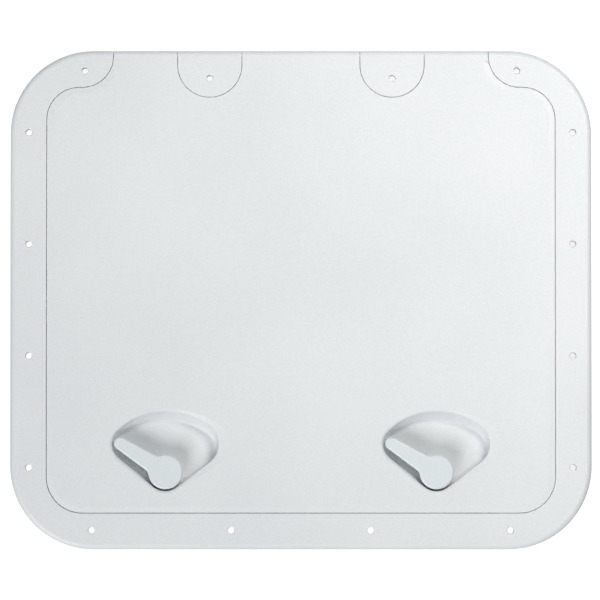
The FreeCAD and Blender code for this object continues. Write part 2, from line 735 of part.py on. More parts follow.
# A fan outline about the hub: a round apex, two straight flanks, two end rounds and a far edge.
# The far edge's centre is (offset, -drop), and each end round touches it at end_height.
def draw_fan(sketch, end_height, apex, right, left, top, drop, offset, inset):
    far = top + drop - inset
    apex, right, left = apex - inset, right - inset, left - inset
    far_centre = Vector(as_dim(offset).value, -drop.value, 0)

    def end_centre(radius, side):
        climb = end_height.value + drop.value
        reach = math.sqrt((far.value - radius.value) ** 2 - climb**2)
        return Vector(far_centre.x + side * reach, end_height.value, 0)

    # Unit vector from either centre to the flank that touches the apex round and an end round
    def flank_direction(centre, radius, side):
        distance = centre.Length
        cosine_part = (apex.value - radius.value) / distance
        sine_part = math.sqrt(1 - cosine_part**2)
        along = Vector(centre) / distance
        across = Vector(along.y * side, -along.x * side, 0)
        return along * cosine_part + across * sine_part

    origin = Vector(0, 0, 0)
    right_centre, left_centre = end_centre(right, 1), end_centre(left, -1)
    right_normal = flank_direction(right_centre, right, 1)
    left_normal = flank_direction(left_centre, left, -1)
    right_touch = right_centre + (right_centre - far_centre).normalize() * right.value
    left_touch = left_centre + (left_centre - far_centre).normalize() * left.value
    points = [
        origin + left_normal * apex.value, origin + right_normal * apex.value,
        right_centre + right_normal * right.value, right_touch,
        left_touch, left_centre + left_normal * left.value,
    ]
    edges = [
        arc_about(origin, points[0], points[1]), Part.LineSegment(points[1], points[2]),
        arc_about(right_centre, points[2], points[3]), arc_about(far_centre, points[3], points[4]),
        arc_about(left_centre, points[4], points[5]), Part.LineSegment(points[5], points[0]),
    ]
    for edge in edges:
        sketch.addGeometry(edge)
    for edge in range(6):
        sketch.addConstraint(Sketcher.Constraint("Tangent", edge, 2, (edge + 1) % 6, 1))
    for edge, radius in ((0, apex), (2, right), (3, far), (4, left)):
        constrain(sketch, "Radius", edge, radius)
    fix_point(sketch, 0, 3, 0, 0)
    fix_point(sketch, 3, 3, offset, -drop)
    constrain(sketch, "DistanceY", -1, 1, 2, 3, end_height)
    constrain(sketch, "DistanceY", -1, 1, 4, 3, end_height)


# One recess: a tapered well in a shallow dish, and a tube in it for the spindle
def add_recess(doc, body, name, side, size, layout):
    x, y = layout.latch_x * side, layout.latch_y
    straight_end = size.frame_height - size.well_straight
    floor = size.frame_height - size.well_depth

    def well(part, lift, inset):
        sketch = new_sketch(body, "%sWell%s" % (name, part), "XY", lift=lift, x=x, y=y)
        draw_fan(
            sketch, size.end_height, size.well_apex_radius, size.well_right_radius, size.well_left_radius,
            size.well_top, size.well_top_drop, size.well_top_offset, inset,
        )
        return sketch

    def well_floor(part, lift, inset):
        sketch = new_sketch(body, "%sWell%s" % (name, part), "XY", lift=lift, x=x, y=y)
        draw_fan(
            sketch, size.floor_end_height, size.floor_apex_radius, size.floor_end_radius,
            size.floor_end_radius, size.floor_top, size.floor_top_drop, size.floor_top_offset, inset,
        )
        return sketch

    shell_bottom = floor - size.well_shell
    upper = well("ShellTop", straight_end, 0 - size.well_shell)
    pad(body, name + "WellShell", upper, layout.lid_underside - straight_end)
    lower = well_floor("ShellBottom", shell_bottom, 0 - size.well_shell)
    upper = well("ShellMiddle", straight_end, 0 - size.well_shell)
    loft(body, name + "WellBowl", "Additive", lower, upper)

    rim = well("Rim", size.frame_height, 0)
    pocket(body, name + "WellUpper", rim, size.well_straight)
    lower, upper = well_floor("Floor", floor, 0), well("Waist", straight_end, 0)
    cut = loft(body, name + "WellLower", "Subtractive", lower, upper)

    def is_floor_edge(edge, points):
        return at_level(points, floor) and near_hub(points, x, y, size)

    edges = edges_where(doc, cut, is_floor_edge)
    fillet(body, name + "WellFloorRound", cut, edges, size.well_floor_radius)

    sketch = new_sketch(body, name + "TubeCircle", "XY", lift=0 - size.seat_bottom, x=x, y=y)
    draw_circle(sketch, 0, 0, size.seat_radius)
    pad(body, name + "Tube", sketch, layout.tube_top + size.seat_bottom)

    dish = new_sketch(body, name + "DishRim", "XY", lift=size.frame_height, x=x, y=y)
    draw_fan(
        dish, size.end_height, size.dish_apex_radius, size.dish_right_radius, size.dish_left_radius,
        size.dish_top, size.dish_top_drop, size.dish_top_offset, 0,
    )
    dish_bottom = well("DishBottom", size.frame_height - size.dish_depth, 0)
    loft(body, name + "Dish", "Subtractive", dish_bottom, dish)

    sketch = new_sketch(body, name + "TubeBoreCircle", "XY", lift=layout.tube_top, x=x, y=y)
    draw_circle(sketch, 0, 0, size.spindle_radius + size.spindle_clearance)
    pocket(body, name + "TubeBore", sketch, layout.tube_top + size.seat_bottom)


def near_hub(points, x, y, size):
    reach = size.well_top.value + size.well_right_radius.value
    return all(math.hypot(point.x - x.value, point.y - y.value) < reach for point in points)


# Hinge blocks, their pins and their screws


def make_hinge_block(doc, label, side, size, layout):
    body = new_body(doc, label, x=layout.block_x * side)
    bottom = size.ledge_thickness
    radius = size.block_radius
    sketch = new_sketch(body, "BlockOutline", "XY", lift=bottom)
    draw_loop(sketch, layout.block_outline(size, 0, layout.half_depth))
    block = pad(body, "Block", sketch, size.frame_height - bottom)

    def is_rear_top(edge, points):
        at_rear = all(near(point.y, layout.half_depth) for point in points)
        return at_rear and at_level(points, size.frame_height)

    edges = edges_where(doc, block, is_rear_top)
    fillet(body, "RolledEdge", block, edges, size.barrel_radius)

    sketch = new_sketch(body, "PinBoreCircle", "YZ", lift=radius)
    draw_circle(sketch, layout.hinge_y, layout.hinge_z, size.pin_radius + size.pin_clearance)
    pocket(body, "PinBore", sketch, radius * 2)

    sketch = new_sketch(body, "DeckHoleCircle", "XY", lift=size.frame_height)
    draw_circle(sketch, 0, layout.half_depth - size.block_hole_inset, size.hole_radius)
    hole = pocket(body, "DeckHole", sketch, size.frame_height - bottom)

    def is_hole_top(edge, points):
        is_round = isinstance(edge.Curve, Part.Circle) and len(points) == 1
        return is_round and at_level(points, size.frame_height)

    edges = edges_where(doc, hole, is_hole_top)
    chamfer(body, "DeckHoleEdge", hole, edges, size.hole_chamfer)

    sketch = new_sketch(body, "ScrewCircles", "XY", lift=bottom)
    for step in (-1, 1):
        x = size.block_screw_spacing / 2 * step
        y = layout.half_depth - size.block_screw_inset
        draw_circle(sketch, x, y, size.block_screw_radius + size.screw_clearance)
    hole_end = size.block_screw_length + size.block_screw_spare
    pocket(body, "ScrewHoles", sketch, hole_end - bottom, upward=True)
    return body


def make_hinge_pin(doc, label, side, size, layout):
    body = new_body(doc, label)
    inner = layout.block_x - size.block_radius - size.pin_engagement
    outer = layout.barrel_end - size.pin_setback
    start = inner if side > 0 else -outer
    sketch = new_sketch(body, "PinCircle", "YZ", lift=start)
    draw_circle(sketch, layout.hinge_y, layout.hinge_z, size.pin_radius)
    pin = pad(body, "Pin", sketch, outer - inner)
    edges = edges_where(doc, pin, lambda edge, points: isinstance(edge.Curve, Part.Circle))
    chamfer(body, "PinEnds", pin, edges, size.pin_chamfer)
    return body


# A countersunk screw that points up, its head flush with the deck plane
def make_block_screw(doc, label, place, size):
    body = new_body(doc, label, x=place[0], y=place[1])
    radius, head = size.block_screw_radius, size.block_screw_head
    bottom = size.screw_clearance
    length = size.block_screw_length
    sketch = new_sketch(body, "ScrewProfile", "XZ")
    draw_loop(sketch, [
        (0, bottom), (head, bottom), (radius, bottom + head - radius),
        (radius, length - radius), (0, length),
    ])
    revolve(body, "Screw", "Revolution", sketch)
    return body


# Latches


def make_handle(doc, label, side, size, layout):
    body = new_body(doc, label, layout.latch_x * side, layout.latch_y, size.handle_angle)
    sketch = new_sketch(body, "HubCircle", "XY", lift=layout.hub_bottom)
    draw_circle(sketch, 0, 0, size.hub_radius)
    pad(body, "Hub", sketch, size.hub_thickness)

    tip_x = size.arm_length + size.arm_tip_radius * sine(size.arm_taper)
    tip_y = size.arm_tip_radius * cosine(size.arm_taper)
    root_y = (size.arm_tip_radius + size.arm_length * sine(size.arm_taper)) / cosine(size.arm_taper)
    sketch = new_sketch(body, "ArmOutline", "XY", lift=layout.handle_top - size.arm_thickness)
    draw_loop(sketch, [(0, -root_y), (tip_x, -tip_y), (tip_x, tip_y, size.arm_tip_radius), (0, root_y)])
    arm = pad(body, "Arm", sketch, size.arm_thickness)

    def is_root(edge, points):
        upright = near(points[0].x, points[-1].x) and near(points[0].y, points[-1].y)
        outside = all(0 < point.x < size.hub_radius.value + 1 for point in points)
        return upright and outside and isinstance(edge.Curve, Part.Line)

    edges = edges_where(doc, arm, is_root)
    roots = fillet(body, "ArmRoots", arm, edges, size.arm_root_radius)
    edges = edges_where(doc, roots, lambda edge, points: at_level(points, layout.handle_top))
    chamfer(body, "TopEdge", roots, edges, size.handle_edge)

    shoulder = 0 - size.seat_bottom - size.spindle_shoulder
    sketch = new_sketch(body, "SpindleCircle", "XY", lift=shoulder)
    draw_circle(sketch, 0, 0, size.spindle_radius)
    pad(body, "Spindle", sketch, layout.hub_bottom - shoulder)
    half = size.square_width / 2
    square_end = layout.cam_bottom + size.thrust_washer_gap
    sketch = new_sketch(body, "SquareOutline", "XY", lift=square_end)
    draw_loop(sketch, rectangle(-half, half, -half, half))
    pad(body, "Square", sketch, shoulder - square_end)

    floor = size.spindle_radius - size.o_ring_wire * 2
    level, half = 0 - size.o_ring_level, size.groove_width / 2
    sketch = new_sketch(body, "GrooveProfile", "XZ")
    draw_loop(sketch, rectangle(floor, size.spindle_radius + size.o_ring_wire, level - half, level + half))
    revolve(body, "RingGroove", "Groove", sketch)

    sketch = new_sketch(body, "PilotCircle", "XY", lift=square_end)
    draw_circle(sketch, 0, 0, size.cam_screw_radius + size.screw_clearance)
    pocket(body, "Pilot", sketch, size.cam_screw_grip + size.screw_clearance, upward=True)
    return body


# A ring whose section is an octagon round the wire's circle, flat where the groove and the tube press it
def make_o_ring(doc, label, side, size, layout):
    body = new_body(doc, label, layout.latch_x * side, layout.latch_y)
    wire, middle, level = size.o_ring_wire, size.spindle_radius - size.o_ring_wire, 0 - size.o_ring_level
    flat = wire * (math.sqrt(2) - 1)
    sketch = new_sketch(body, "RingProfile", "XZ")
    draw_loop(sketch, [
        (middle + flat, level - wire), (middle + wire, level - flat), (middle + wire, level + flat),
        (middle + flat, level + wire), (middle - flat, level + wire), (middle - wire, level + flat),
        (middle - wire, level - flat), (middle - flat, level - wire),
    ])
    revolve(body, "Ring", "Revolution", sketch)
    return body


def make_washer(doc, label, side, bottom, thickness, radius, bore, layout):
    body = new_body(doc, label, layout.latch_x * side, layout.latch_y)
    sketch = new_sketch(body, "WasherOutline", "XY", lift=bottom)
    draw_circle(sketch, 0, 0, radius)
    draw_circle(sketch, 0, 0, bore)
    pad(body, "Washer", sketch, thickness)
    return body


def make_cam(doc, label, side, size, layout):
    body = new_body(doc, label, layout.latch_x * side, layout.latch_y, size.cam_angle)
    sketch = new_sketch(body, "HubCircle", "XY", lift=layout.cam_bottom)
    draw_circle(sketch, 0, 0, size.cam_hub_radius)
    pad(body, "Hub", sketch, layout.cam_hub_top - layout.cam_bottom)

    tip = size.cam_tip_radius
    sketch = new_sketch(body, "ArmOutline", "XY", lift=layout.cam_bottom)
    draw_loop(sketch, [
        (0, -tip), (size.cam_length, -tip), (size.cam_length + tip, 0, tip),
        (size.cam_length, tip, tip), (0, tip),
    ])
    arm = pad(body, "Arm", sketch, size.cam_thickness)

    def is_lead_in(edge, points):
        at_tip = all(point.x > size.cam_length.value or near(point.x, size.cam_length) for point in points)
        return at_tip and at_level(points, layout.cam_top)

    edges = edges_where(doc, arm, is_lead_in)
    chamfer(body, "LeadIn", arm, edges, size.strike_ramp)

    half = size.square_width / 2 + size.square_clearance
    handle_turn = size.handle_angle - size.cam_angle
    sketch = new_sketch(body, "SquareOutline", "XY", lift=layout.cam_hub_top, turn=handle_turn)
    draw_loop(sketch, rectangle(-half, half, -half, half))
    pocket(body, "SquareHole", sketch, layout.cam_hub_top - layout.cam_bottom)
    return body


# A pan head screw that points up, with its head under the cam washer
def make_cam_screw(doc, label, side, size, layout):
    body = new_body(doc, label, layout.latch_x * side, layout.latch_y)
    seat = layout.cam_bottom - size.cam_washer_thickness
    head, bottom = size.cam_screw_head, seat - size.cam_screw_head_height
    shank, tip = size.cam_screw_radius, layout.cam_bottom + size.cam_screw_grip
    edge = size.cam_screw_head_height / 2
    sketch = new_sketch(body, "ScrewProfile", "XZ")
    draw_loop(sketch, [
        (0, bottom), (head - edge, bottom), (head, bottom + edge), (head, seat), (shank, seat),
        (shank, tip - shank), (0, tip),
    ])
    revolve(body, "Screw", "Revolution", sketch)
    return body


def make_latch(doc, name, side, size, layout):
    washer_bottom = layout.cam_bottom - size.cam_washer_thickness
    return [
        make_handle(doc, "latch_handle_" + name, side, size, layout),
        make_o_ring(doc, "handle_o_ring_" + name, side, size, layout),
        make_washer(
            doc, "thrust_washer_" + name, side, layout.cam_hub_top, size.thrust_washer_thickness,
            size.thrust_washer_radius, size.thrust_washer_bore, layout,
        ),
        make_cam(doc, "latch_cam_" + name, side, size, layout),
        make_washer(
            doc, "cam_washer_" + name, side, washer_bottom, size.cam_washer_thickness,
            size.cam_washer_radius, size.cam_screw_radius + size.screw_clearance, layout,
        ),
        make_cam_screw(doc, "cam_screw_" + name, side, size, layout),
    ]


CUTS = ("PartDesign::Pocket", "PartDesign::Groove", "PartDesign::SubtractiveLoft")
LEAST_CUT = 0.01


# Every object has to be sound, every cut has to take material away, and every sub-part has to be
# one or more valid solids, before anything is written
def check(doc, parts):
    for item in doc.Objects:
        if "Invalid" in item.State or "Error" in item.State:
            raise RuntimeError("%s failed: %s" % (item.Label, item.State))
        if item.TypeId in CUTS and item.BaseFeature.Shape.Volume - item.Shape.Volume < LEAST_CUT:
            raise RuntimeError("%s cuts nothing" % item.Label)
    for part in parts:
        shape = part.Shape
        if shape.isNull() or not shape.isValid() or not shape.Solids:
            raise RuntimeError("%s has no valid solid" % part.Label)


def main():
    doc = FreeCAD.newDocument("access_hatch")
    size = Sizes(doc, SIZES)
    doc.recompute()
    layout = Layout(size)
    parts = [
        make_frame(doc, size, layout),
        make_seal(doc, size, layout),
        make_lid(doc, size, layout),
    ]
    for name, side in (("left", -1), ("right", 1)):
        parts.append(make_hinge_block(doc, "hinge_block_" + name, side, size, layout))
        parts.append(make_hinge_pin(doc, "hinge_pin_" + name, side, size, layout))
        parts += make_latch(doc, name, side, size, layout)
    for number, place in enumerate(block_screw_places(size, layout), start=1):
        parts.append(make_block_screw(doc, "block_screw_%d" % number, place, size))
    doc.recompute()
    check(doc, parts)
    os.makedirs("parts", exist_ok=True)
    for part in parts:
        part.Shape.exportStep("parts/%s.step" % part.Label)
        print("%-22s %9.1f mm3" % (part.Label, part.Shape.Volume))


main()
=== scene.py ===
# Flush deck hatch: finishes, seal, screws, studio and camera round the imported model. Metres.
import json
import math

import bmesh
import bpy
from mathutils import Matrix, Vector
from mathutils.bvhtree import BVHTree
from mathutils.kdtree import KDTree


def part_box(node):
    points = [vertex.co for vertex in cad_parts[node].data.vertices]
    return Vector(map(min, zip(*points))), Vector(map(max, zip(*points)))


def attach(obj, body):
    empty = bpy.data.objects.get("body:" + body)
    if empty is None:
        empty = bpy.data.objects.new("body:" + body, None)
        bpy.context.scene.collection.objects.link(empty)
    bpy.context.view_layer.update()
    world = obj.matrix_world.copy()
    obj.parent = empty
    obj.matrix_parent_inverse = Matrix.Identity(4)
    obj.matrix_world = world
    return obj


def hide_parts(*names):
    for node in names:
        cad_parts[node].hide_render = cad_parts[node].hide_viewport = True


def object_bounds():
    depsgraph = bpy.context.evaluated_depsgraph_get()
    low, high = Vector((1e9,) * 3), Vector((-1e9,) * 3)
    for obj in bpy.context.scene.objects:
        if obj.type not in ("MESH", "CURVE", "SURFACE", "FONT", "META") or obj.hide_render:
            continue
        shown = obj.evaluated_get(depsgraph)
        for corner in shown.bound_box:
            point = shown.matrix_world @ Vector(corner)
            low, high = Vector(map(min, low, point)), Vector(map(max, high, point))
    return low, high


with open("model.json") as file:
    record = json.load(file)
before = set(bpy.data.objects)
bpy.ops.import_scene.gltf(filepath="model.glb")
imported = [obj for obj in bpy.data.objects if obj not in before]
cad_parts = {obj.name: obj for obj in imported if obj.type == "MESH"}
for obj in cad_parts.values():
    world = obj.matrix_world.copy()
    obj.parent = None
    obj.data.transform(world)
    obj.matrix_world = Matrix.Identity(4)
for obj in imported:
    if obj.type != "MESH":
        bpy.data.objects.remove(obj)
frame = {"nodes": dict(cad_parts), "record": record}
cadLow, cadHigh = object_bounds()
nodes = frame["nodes"]
print("frame loaded:", len(nodes), "nodes")


# Node helpers for the finishes

def startMaterial(name):
    material = bpy.data.materials.new(name)
    material.use_nodes = True
    tree = material.node_tree
    tree.nodes.clear()
    shader = tree.nodes.new("ShaderNodeBsdfPrincipled")
    output = tree.nodes.new("ShaderNodeOutputMaterial")
    tree.links.new(shader.outputs["BSDF"], output.inputs["Surface"])
    place = tree.nodes.new("ShaderNodeTexCoord").outputs["Object"]
    return material, tree, shader, place


def addNoise(tree, place, size, detail, roughness=0.5):
    noise = tree.nodes.new("ShaderNodeTexNoise")
    noise.inputs["Scale"].default_value = 1 / size
    noise.inputs["Detail"].default_value = detail
    noise.inputs["Roughness"].default_value = roughness
    tree.links.new(place, noise.inputs["Vector"])
    return noise.outputs["Fac"]


def addRange(tree, value, low, high, toLow, toHigh):
    node = tree.nodes.new("ShaderNodeMapRange")
    node.inputs["From Min"].default_value = low
    node.inputs["From Max"].default_value = high
    node.inputs["To Min"].default_value = toLow
    node.inputs["To Max"].default_value = toHigh
    tree.links.new(value, node.inputs["Value"])
    return node.outputs["Result"]


def addMath(tree, operation, first, second):
    node = tree.nodes.new("ShaderNodeMath")
    node.operation = operation
    for socket, value in zip(node.inputs, (first, second)):
        if isinstance(value, (int, float)):
            socket.default_value = value
        else:
            tree.links.new(value, socket)
    return node.outputs["Value"]


def addColours(tree, factor, first, second):
    node = tree.nodes.new("ShaderNodeMix")
    node.data_type = "RGBA"
    node.inputs["A"].default_value = (*first, 1)
    node.inputs["B"].default_value = (*second, 1)
    tree.links.new(factor, node.inputs["Factor"])
    return node.outputs["Result"]


def addBump(tree, height, strength, distance, normal):
    node = tree.nodes.new("ShaderNodeBump")
    node.inputs["Strength"].default_value = strength
    node.inputs["Distance"].default_value = distance
    tree.links.new(height, node.inputs["Height"])
    tree.links.new(normal, node.inputs["Normal"])
    return node.outputs["Normal"]


def addSoftEdge(tree, radius, samples=6):
    node = tree.nodes.new("ShaderNodeBevel")
    node.samples = samples
    node.inputs["Radius"].default_value = radius
    return node.outputs["Normal"]


# Tone, roughness and bump that all follow one grain
def followGrain(tree, shader, grain, look):
    tone = addRange(tree, grain, *look["toneRange"], 0, 1)
    colour = addColours(tree, tone, look["colour"], look["shade"])
    tree.links.new(colour, shader.inputs["Base Color"])
    rough = addRange(tree, grain, *look["roughRange"], *look["roughness"])
    tree.links.new(rough, shader.inputs["Roughness"])
    softEdge = addSoftEdge(tree, look["edgeRadius"])
    bumped = addBump(tree, grain, look["bump"], look["grainDepth"], softEdge)
    tree.links.new(bumped, shader.inputs["Normal"])


# A level of the screen, 0 to 255, as the linear value that a shader takes
def linear(level):
    return ((level / 255 + 0.055) / 1.055) ** 2.4 if level > 10 else level / 255 / 12.92


def fromScreen(red, green, blue):
    return linear(red), linear(green), linear(blue)


whitePlastic = {
    "colour": fromScreen(230, 231, 232),
    "grainColour": fromScreen(218, 220, 222),
    "grainSize": 0.0011,        # sand-blasted mould grain
    "grainDetail": 3.0,
    "grainRoughness": 0.6,
    "grainDepth": 0.00003,
    "fineGrain": 0.00045,
    "cloudSize": 0.16,          # slow drift of tone over the panel
    "grainShare": 0.65,         # of the tone; the slow drift has the rest
    "toneRange": (0.36, 0.62),
    "speckColour": fromScreen(196, 198, 200),
    "speckSpacing": 0.006,
    "speckShare": 0.055,        # share of a cell that a speck fills
    "speckCore": 0.6,           # share of a speck at its full strength
    "speckStrength": 0.7,
    "roughRange": (0.3, 0.7),
    "roughness": (0.40, 0.52),
    "bump": 0.5,
    "fineBump": 0.4,
    "edgeRadius": 0.0005,
}


def makeWhitePlastic(look):
    material, tree, shader, place = startMaterial("whitePlastic")
    grain = addNoise(tree, place, look["grainSize"], look["grainDetail"], look["grainRoughness"])
    fine = addNoise(tree, place, look["fineGrain"], 1.0)
    cloud = addNoise(tree, place, look["cloudSize"], 2.0)
    grainPart = addMath(tree, "MULTIPLY", grain, look["grainShare"])
    cloudPart = addMath(tree, "MULTIPLY", cloud, 1 - look["grainShare"])
    mottle = addMath(tree, "ADD", grainPart, cloudPart)
    tone = addRange(tree, mottle, *look["toneRange"], 1.0, 0.0)
    colour = addColours(tree, tone, look["colour"], look["grainColour"])

    speck = tree.nodes.new("ShaderNodeTexVoronoi")
    speck.inputs["Scale"].default_value = 1 / look["speckSpacing"]
    tree.links.new(place, speck.inputs["Vector"])
    rim = look["speckShare"]
    spot = addRange(tree, speck.outputs["Distance"], rim * look["speckCore"], rim, 1.0, 0.0)
    specked = tree.nodes.new("ShaderNodeMix")
    specked.data_type = "RGBA"
    specked.inputs["B"].default_value = (*look["speckColour"], 1)
    tree.links.new(addMath(tree, "MULTIPLY", spot, look["speckStrength"]), specked.inputs["Factor"])
    tree.links.new(colour, specked.inputs["A"])
    tree.links.new(specked.outputs["Result"], shader.inputs["Base Color"])

    rough = addRange(tree, grain, *look["roughRange"], *look["roughness"])
    tree.links.new(rough, shader.inputs["Roughness"])
    softEdge = addSoftEdge(tree, look["edgeRadius"])
    coarse = addBump(tree, grain, look["bump"], look["grainDepth"], softEdge)
    bumped = addBump(tree, fine, look["fineBump"], look["grainDepth"] / 2, coarse)
    tree.links.new(bumped, shader.inputs["Normal"])
    return material


handlePlastic = {
    "colour": fromScreen(223, 229, 230),
    "shade": fromScreen(214, 221, 223),
    "toneRange": (0.35, 0.65),
    "grainSize": 0.0007,
    "grainDepth": 0.000012,
    "bump": 0.4,
    "roughRange": (0.3, 0.7),
    "roughness": (0.30, 0.38),
    "edgeRadius": 0.0006,
}
nylon = {
    "colour": (0.022, 0.022, 0.024),
    "shade": (0.034, 0.034, 0.037),
    "toneRange": (0.35, 0.65),
    "grainSize": 0.0006,
    "grainDepth": 0.00002,
    "bump": 0.4,
    "roughRange": (0.3, 0.7),
    "roughness": (0.42, 0.55),
    "edgeRadius": 0.0003,
}
sealRubber = {
    "colour": (0.010, 0.010, 0.011),
    "shade": (0.019, 0.019, 0.020),
    "toneRange": (0.35, 0.65),
    "grainSize": 0.0004,
    "grainDepth": 0.00002,
    "bump": 0.4,
    "roughRange": (0.3, 0.7),
    "roughness": (0.62, 0.78),
    "edgeRadius": 0.0003,
}


def makeGrained(name, look):
    material, tree, shader, place = startMaterial(name)
    followGrain(tree, shader, addNoise(tree, place, look["grainSize"], 2.0), look)
    return material


stainless = {
    "colour": (0.56, 0.57, 0.58),
    "shade": (0.47, 0.48, 0.49),
    "toneRange": (0.3, 0.7),
    "toolMark": 0.00025,        # height of a turning mark along the axis
    "markLength": 6,            # times its height
    "grainDepth": 0.000008,
    "bump": 0.3,
    "roughRange": (0.3, 0.7),
    "roughness": (0.20, 0.34),
    "edgeRadius": 0.0002,
}


def makeStainless(look):
    material, tree, shader, place = startMaterial("stainless")
    shader.inputs["Metallic"].default_value = 1.0
    lay = tree.nodes.new("ShaderNodeMapping")
    lay.inputs["Scale"].default_value = (1, 1, look["markLength"])
    tree.links.new(place, lay.inputs["Vector"])
    mark = addNoise(tree, lay.outputs["Vector"], look["toolMark"] * look["markLength"], 3.0)
    followGrain(tree, shader, mark, look)
    return material


finishes = {
    "white_moulding": makeWhitePlastic(whitePlastic),
    "handle_moulding": makeGrained("handlePlastic", handlePlastic),
    "stainless": makeStainless(stainless),
    "nylon": makeGrained("nylon", nylon),
    "seal_rubber": makeGrained("sealRubber", sealRubber),
}
slotOfNode = {part["node"]: part["material_slot"] for part in frame["record"]["subparts"]}
for nodeName, slotName in slotOfNode.items():
    mesh = nodes[nodeName].data
    mesh.materials.clear()
    mesh.materials.append(finishes[slotName])
print("finishes made:", len(finishes))


# Copies of the moulded nodes with slightly rounded edges

easedEdges = {
    "frame": {"width": 0.00035, "levelCreases": False},
    "lid": {"width": 0.00035, "levelCreases": True},
    "hinge_block_left": {"width": 0.0003, "levelCreases": False},
    "hinge_block_right": {"width": 0.0003, "levelCreases": False},
    "latch_handle_left": {"width": 0.0005, "levelCreases": False},
    "latch_handle_right": {"width": 0.0005, "levelCreases": False},
}
moulding = {
    "mergeDistance": 0.000002,
    "flatAngle": 0.4,           # degrees: faces that meet flatter than this become one
    "edgeAngle": 32,            # degrees: sharper edges are rounded
    "smoothAngle": 40,          # degrees: sharper edges keep a crease
    "levelNormal": 0.99995,     # upward part of a level face's normal
    "segments": 2,
    "rounds": 5,                # of looking for folds
    "releaseReach": 0.0008,     # edges this near to a fold stay sharp, wider in each round
    "flatWeight": 100,          # how far large faces set the shading
}


# Corners of the triangles that the rounding turns over against the node's own surface
def foldedPlaces(piece, surface):
    reader = bpy.context.evaluated_depsgraph_get()
    eased = bpy.data.meshes.new_from_object(piece.evaluated_get(reader), depsgraph=reader)
    eased.calc_loop_triangles()
    folds = []
    for triangle in eased.loop_triangles:
        corners = [eased.vertices[index].co.copy() for index in triangle.vertices]
        middle = sum(corners, Vector()) / 3
        across = (corners[1] - corners[0]).cross(corners[2] - corners[0])
        if across.dot(surface.find_nearest(middle)[1]) < 0:
            folds += corners
    bpy.data.meshes.remove(eased)
    return folds


def releaseEdges(mesh, folds, reach):
    corners = KDTree(len(mesh.vertices))
    for vertex in mesh.vertices:
        corners.insert(vertex.co, vertex.index)
    corners.balance()
    near = {index for fold in folds for place, index, gap in corners.find_range(fold, reach)}
    weights = mesh.attributes["bevel_weight_edge"].data
    for seam in mesh.edges:
        if near.intersection(seam.vertices):
            weights[seam.index].value = 0
    mesh.update()


# Merged, flattened and marked: which edges are rounded and which keep a crease
def prepareMesh(mesh, edge, look):
    work = bmesh.new()
    work.from_mesh(mesh)
    bmesh.ops.remove_doubles(work, verts=work.verts, dist=look["mergeDistance"])
    flat = math.radians(look["flatAngle"])
    bmesh.ops.dissolve_limit(work, angle_limit=flat, verts=work.verts, edges=work.edges)
    for face in work.faces:
        face.smooth = True
    weights = work.edges.layers.float.new("bevel_weight_edge")
    for seam in work.edges:
        turn = seam.calc_face_angle() if len(seam.link_faces) == 2 else math.pi
        seam[weights] = float(turn > math.radians(look["edgeAngle"]))
        seam.smooth = turn < math.radians(look["smoothAngle"])
        if edge["levelCreases"] and seam.smooth:
            level = [face.normal.z > look["levelNormal"] for face in seam.link_faces]
            seam.smooth = level[0] == level[1]      # keeps the shallow dish and bevel lines crisp
    work.to_mesh(mesh)
    surface = BVHTree.FromBMesh(work)
    work.free()
    return surface


def easeNode(nodeName, edge, look):
    mesh = nodes[nodeName].data.copy()
    mesh.name = nodeName + "Moulding"
    surface = prepareMesh(mesh, edge, look)
    piece = bpy.data.objects.new(nodeName + "Moulding", mesh)
    bpy.context.scene.collection.objects.link(piece)
    bevel = piece.modifiers.new("easedEdges", "BEVEL")
    bevel.width = edge["width"]
    bevel.segments = look["segments"]
    bevel.limit_method = "WEIGHT"
    bevel.use_clamp_overlap = False
    bevel.loop_slide = False
    for turn in range(1, look["rounds"] + 1):
        folds = foldedPlaces(piece, surface)
        if not folds:
            break
        releaseEdges(mesh, folds, look["releaseReach"] * turn)
    level = piece.modifiers.new("flatShading", "WEIGHTED_NORMAL")
    level.mode = "FACE_AREA"
    level.weight = look["flatWeight"]
    level.keep_sharp = True
    return piece


bodies = frame["record"]["behaviour"]["bodies"]
bodyOfNode = {name: body for body, names in bodies.items() for name in names}
for nodeName, edge in easedEdges.items():
    piece = easeNode(nodeName, edge, moulding)
    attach(piece, bodyOfNode[nodeName])
    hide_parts(nodeName)
print("mouldings eased:", len(easedEdges))


# Geometry Nodes helpers

def startTree(name, sizes):
    tree = bpy.data.node_groups.new(name, "GeometryNodeTree")
    addSocket = tree.interface.new_socket
    addSocket("Shape", in_out="INPUT", socket_type="NodeSocketGeometry")
    for label, value in sizes.items():
        addSocket(label, in_out="INPUT", socket_type="NodeSocketFloat").default_value = value
    addSocket("finish", in_out="INPUT", socket_type="NodeSocketMaterial")
    addSocket("Shape", in_out="OUTPUT", socket_type="NodeSocketGeometry")
    return tree, tree.nodes.new("NodeGroupInput")


def addNode(tree, kind, inputs=None, **settings):
    node = tree.nodes.new(kind)
    for name, value in settings.items():
        setattr(node, name, value)
    for name, value in (inputs or {}).items():
        socket = node.inputs[name]
        if isinstance(value, bpy.types.NodeSocket):
            tree.links.new(value, socket)
        else:
            socket.default_value = value
    return node


def endTree(tree, enter, shape):
    real = addNode(tree, "GeometryNodeRealizeInstances", {"Geometry": shape})
    smooth = addNode(tree, "GeometryNodeSetShadeSmooth", {"Geometry": real.outputs[0]})
    finished = addNode(tree, "GeometryNodeSetMaterial", {
        "Geometry": smooth.outputs[0], "Material": enter.outputs["finish"],
    })
    leave = tree.nodes.new("NodeGroupOutput")
    tree.links.new(finished.outputs[0], leave.inputs[0])


